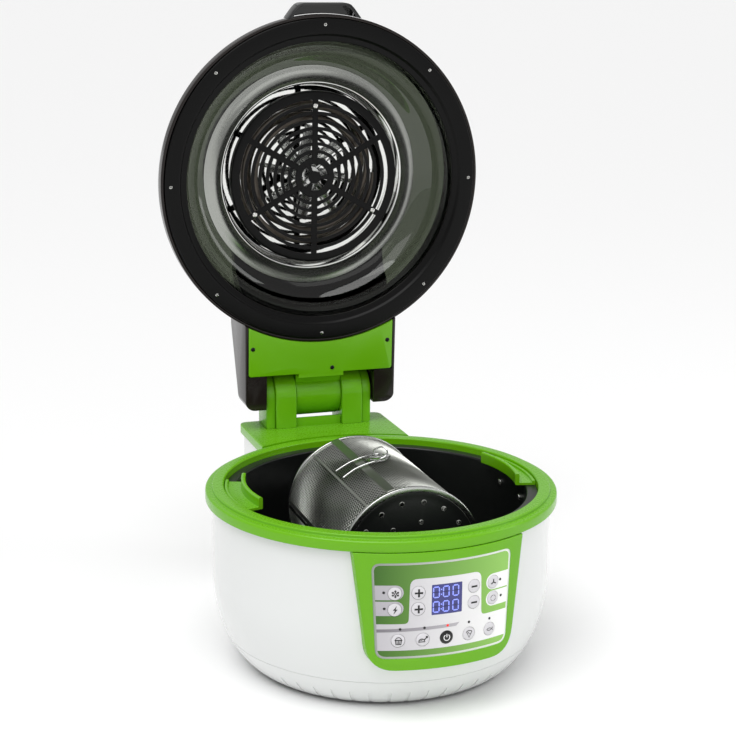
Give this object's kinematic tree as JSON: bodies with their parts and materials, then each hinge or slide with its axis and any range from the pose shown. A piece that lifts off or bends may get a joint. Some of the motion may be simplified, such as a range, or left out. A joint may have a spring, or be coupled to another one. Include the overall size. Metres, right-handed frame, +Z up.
{
  "type": "deep fryer",
  "caption": "Round countertop hot-air fryer: white housing, green rim, keypad with display, hinged glass heater lid, lift-out pot, turning drum.",
  "frame": {"origin": "on the table plane, at the middle of the whole box with the lid standing open", "axes": "+Z up, -Y towards the keypad, +X to the right seen from the front"},
  "size_m": [0.332, 0.4628, 0.6063],
  "materials": {
    "white_gloss": "gloss",
    "green_gloss": "gloss",
    "black_gloss": "gloss",
    "black_satin": "satin",
    "black_matte": "matte",
    "black_coated": "semi-gloss non-stick coat",
    "steel": "bright",
    "chrome": "polished",
    "panel_print": "printed membrane",
    "button_grey": "satin",
    "button_black": "satin",
    "display_glass": "clear over a blue display",
    "smoked_glass": "smoked",
    "rubber": "matte"
  },
  "bodies": {
    "base": {"base_plate": "black_matte", "base_ring": "white_gloss", "control_bezel": "green_gloss", "control_board": "black_matte", "control_panel": "panel_print", "cord_gland": "black_matte", "display_window": "display_glass", "drive_motor": "steel", "foot_front": "rubber", "foot_left": "rubber", "foot_rear": "rubber", "foot_right": "rubber", "hinge_pin": "steel", "hinge_tower_left": "green_gloss", "hinge_tower_right": "green_gloss", "lid_spring": "steel", "outer_housing": "white_gloss", "pot_liner": "steel", "rim_ring": "green_gloss", "tower_cap_left": "green_gloss", "tower_cap_right": "green_gloss"},
    "lid": {"lid_glass": "smoked_glass", "lid_ring": "black_satin", "lid_shell": "black_gloss", "motor_cover": "black_gloss", "grille": "black_satin", "reflector": "chrome", "heating_coil": "steel", "fan_motor": "steel", "arm_cover": "black_matte", "hinge_arm": "green_gloss", "lid_handle": "black_gloss"},
    "fan": {"fan_impeller": "steel"},
    "pot": {"inner_pot": "black_coated", "pot_grip_left": "green_gloss", "pot_grip_right": "green_gloss", "drum_cradle": "steel"},
    "coupler": {"drive_coupler": "steel"},
    "bush": {"drum_bush": "rubber"},
    "drum": {"drum_wall": "steel", "drum_rim_front": "steel", "drum_rim_rear": "steel", "drum_end_front": "black_coated", "drum_end_rear": "black_coated"},
    "spindle": {"drive_spindle": "steel"},
    "door": {"drum_door": "steel"},
    "latch": {"door_latch": "steel"},
    "button_defrost": {"button_defrost": "button_grey"},
    "button_fan": {"button_fan": "button_grey"},
    "button_fish": {"button_fish": "button_grey"},
    "button_fries": {"button_fries": "button_grey"},
    "button_heat_down": {"button_heat_down": "button_grey"},
    "button_heat_up": {"button_heat_up": "button_grey"},
    "button_lamp": {"button_lamp": "button_grey"},
    "button_meat": {"button_meat": "button_grey"},
    "button_pizza": {"button_pizza": "button_grey"},
    "button_power": {"button_power": "button_black"},
    "button_time_down": {"button_time_down": "button_grey"},
    "button_time_up": {"button_time_up": "button_grey"},
    "button_turbo": {"button_turbo": "button_grey"}
  },
  "joints": [
    {"name": "button_defrost_press", "type": "slide", "parent": "base", "child": "button_defrost", "axis": [0.2487, 0.9686, 0], "range_m": [0, 0.0009], "stiffness_N_per_m": 300},
    {"name": "button_fan_press", "type": "slide", "parent": "base", "child": "button_fan", "axis": [-0.3057, 0.9521, 0], "range_m": [0, 0.0009], "stiffness_N_per_m": 300},
    {"name": "button_fish_press", "type": "slide", "parent": "base", "child": "button_fish", "axis": [-0.2874, 0.9578, 0], "range_m": [0, 0.0009], "stiffness_N_per_m": 300},
    {"name": "button_fries_press", "type": "slide", "parent": "base", "child": "button_fries", "axis": [0.23, 0.9732, 0], "range_m": [0, 0.0009], "stiffness_N_per_m": 300},
    {"name": "button_heat_down_press", "type": "slide", "parent": "base", "child": "button_heat_down", "axis": [-0.1857, 0.9826, 0], "range_m": [0, 0.0009], "stiffness_N_per_m": 300},
    {"name": "button_heat_up_press", "type": "slide", "parent": "base", "child": "button_heat_up", "axis": [0.1271, 0.9919, 0], "range_m": [0, 0.0009], "stiffness_N_per_m": 300},
    {"name": "button_lamp_press", "type": "slide", "parent": "base", "child": "button_lamp", "axis": [-0.3057, 0.9521, 0], "range_m": [0, 0.0009], "stiffness_N_per_m": 300},
    {"name": "button_meat_press", "type": "slide", "parent": "base", "child": "button_meat", "axis": [0.1011, 0.9949, 0], "range_m": [0, 0.0009], "stiffness_N_per_m": 300},
    {"name": "button_pizza_press", "type": "slide", "parent": "base", "child": "button_pizza", "axis": [-0.1599, 0.9871, 0], "range_m": [0, 0.0009], "stiffness_N_per_m": 300},
    {"name": "button_power_press", "type": "slide", "parent": "base", "child": "button_power", "axis": [-0.0297, 0.9996, 0], "range_m": [0, 0.0009], "stiffness_N_per_m": 300},
    {"name": "button_time_down_press", "type": "slide", "parent": "base", "child": "button_time_down", "axis": [-0.1857, 0.9826, 0], "range_m": [0, 0.0009], "stiffness_N_per_m": 300},
    {"name": "button_time_up_press", "type": "slide", "parent": "base", "child": "button_time_up", "axis": [0.1271, 0.9919, 0], "range_m": [0, 0.0009], "stiffness_N_per_m": 300},
    {"name": "button_turbo_press", "type": "slide", "parent": "base", "child": "button_turbo", "axis": [0.2487, 0.9686, 0], "range_m": [0, 0.0009], "stiffness_N_per_m": 300},
    {"name": "lid_hinge", "type": "hinge", "parent": "base", "child": "lid", "pos_m": [0, 0.16256, 0.2025], "axis": [1, 0, 0], "range_deg": [0, 88]},
    {"name": "fan_spin", "type": "hinge", "parent": "lid", "child": "fan", "pos_m": [0, 0.17664, 0.43056], "axis": [0, 0.9994, 0.0349], "continuous": true},
    {"name": "pot_lift", "type": "slide", "parent": "base", "child": "pot", "axis": [0, 0, -1], "range_m": [-0.15, 0]},
    {"name": "coupler_spin", "type": "hinge", "parent": "pot", "child": "coupler", "pos_m": [0, 0.06, 0.1245], "axis": [0, 1, 0], "continuous": true},
    {"name": "drum_lift", "type": "slide", "parent": "pot", "child": "bush", "axis": [0, 0, -1], "range_m": [-0.15, 0]},
    {"name": "drum_spin", "type": "hinge", "parent": "bush", "child": "drum", "pos_m": [0, -0.066, 0.1245], "axis": [0, 1, 0], "continuous": true},
    {"name": "spindle_spin", "type": "hinge", "parent": "base", "child": "spindle", "pos_m": [0, 0.085, 0.1245], "axis": [0, 1, 0], "continuous": true},
    {"name": "door_hinge", "type": "hinge", "parent": "drum", "child": "door", "pos_m": [-0.06591, -0.06494, 0.12795], "axis": [0, 1, 0], "range_deg": [-72, 0]},
    {"name": "latch_hinge", "type": "hinge", "parent": "door", "child": "latch", "pos_m": [-0.04091, -0.06494, 0.18081], "axis": [0, 1, 0], "range_deg": [-70, 0]}
  ],
  "couplings": [
    {"joint": "coupler_spin", "follows": "drum_spin", "ratio": 1},
    {"joint": "spindle_spin", "follows": "drum_spin", "ratio": 1}
  ]
}
